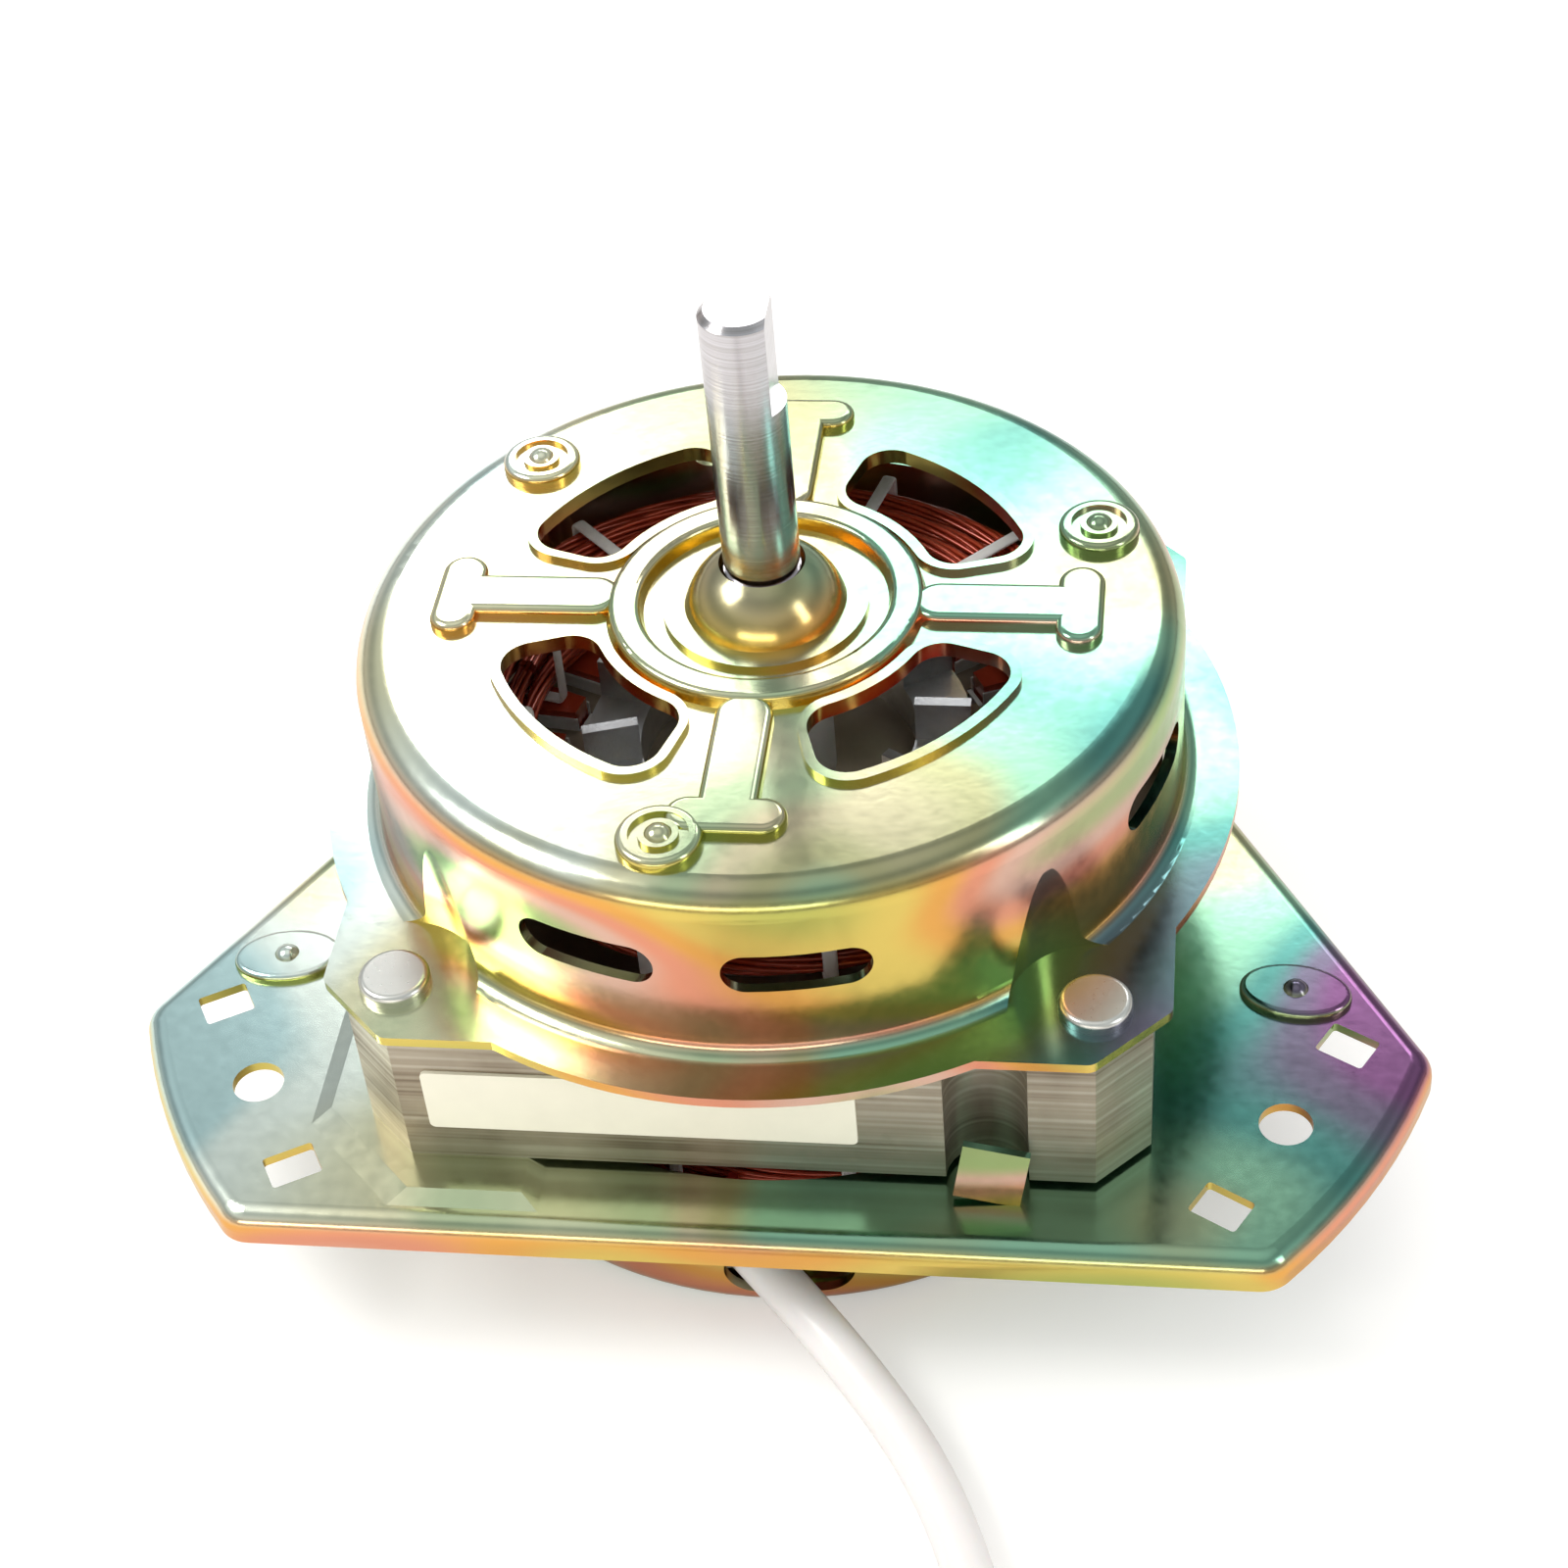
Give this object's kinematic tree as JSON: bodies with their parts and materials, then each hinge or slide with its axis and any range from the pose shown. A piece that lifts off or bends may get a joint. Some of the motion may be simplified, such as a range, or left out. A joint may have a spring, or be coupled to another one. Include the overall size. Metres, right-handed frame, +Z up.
{
  "type": "washing machine motor",
  "caption": "Flange-mounted induction motor: laminated stack between pressed bells, triangular mounting plate, upright output shaft with a flat, and a sleeved lead with a connector.",
  "frame": {"origin": "on the shaft's axis, in the top plane of the mounting plate, which is the centre of the circle of the three mounting holes", "axes": "+Z up along the output shaft; the plate's straight edge with the lead faces -Y, and its third arm points along +Y"},
  "size_m": [0.1752, 0.2816, 0.1238],
  "materials": {
    "yellow_zinc": "iridescent yellow passivated zinc",
    "lamination": "lacquered electrical steel edges",
    "bright_zinc": "bright zinc",
    "ground_steel": "ground and polished",
    "enamelled_wire": "red-brown enamel on copper wire",
    "lacing_cord": "white varnished cord",
    "insulation_film": "milky film",
    "insulation_sleeve": "varnished glass sleeve",
    "cast_aluminium": "die-cast",
    "sintered_bronze": "oil-filled, matt",
    "oil_felt": "oiled wool felt",
    "fibre_washer": "hard fibre",
    "nylon": "natural nylon",
    "label_aluminium": "bare foil-faced plate",
    "white_pvc": "soft semi-gloss sleeve",
    "tie_plastic": "black tie",
    "wire_insulation": "red insulation",
    "tinned_brass": "tinned"
  },
  "bodies": {
    "stator": {"base_plate": "yellow_zinc", "top_bell": "yellow_zinc", "stator_core": "lamination", "slot_liners": "insulation_film", "slot_wedges": "insulation_film", "slot_coils": "enamelled_wire", "upper_end_winding": "enamelled_wire", "lower_end_winding": "enamelled_wire", "upper_lacing": "lacing_cord", "lower_lacing": "lacing_cord", "thermal_fuse": "insulation_sleeve", "splice_sleeves": "insulation_sleeve", "stack_rivets": "bright_zinc", "upper_bush": "sintered_bronze", "lower_bush": "sintered_bronze", "upper_felt_ring": "oil_felt", "lower_felt_ring": "oil_felt", "upper_bush_keeper": "bright_zinc", "lower_bush_keeper": "bright_zinc", "label_plate": "label_aluminium", "core_wires": "wire_insulation", "inner_cable_tie": "nylon", "lead_cable": "white_pvc", "cable_coil": "white_pvc", "coil_tie": "tie_plastic", "lead_connector": "nylon", "connector_terminals": "tinned_brass"},
    "rotor": {"shaft": "ground_steel", "rotor_core": "lamination", "rotor_cage": "cast_aluminium", "upper_spacer": "nylon", "lower_spacer": "nylon", "upper_thrust_washer": "fibre_washer", "lower_thrust_washer": "fibre_washer"}
  },
  "joints": [
    {"name": "rotor_spin", "type": "hinge", "parent": "stator", "child": "rotor", "pos_m": [0, 0, 0], "axis": [0, 0, 1], "continuous": true}
  ]
}
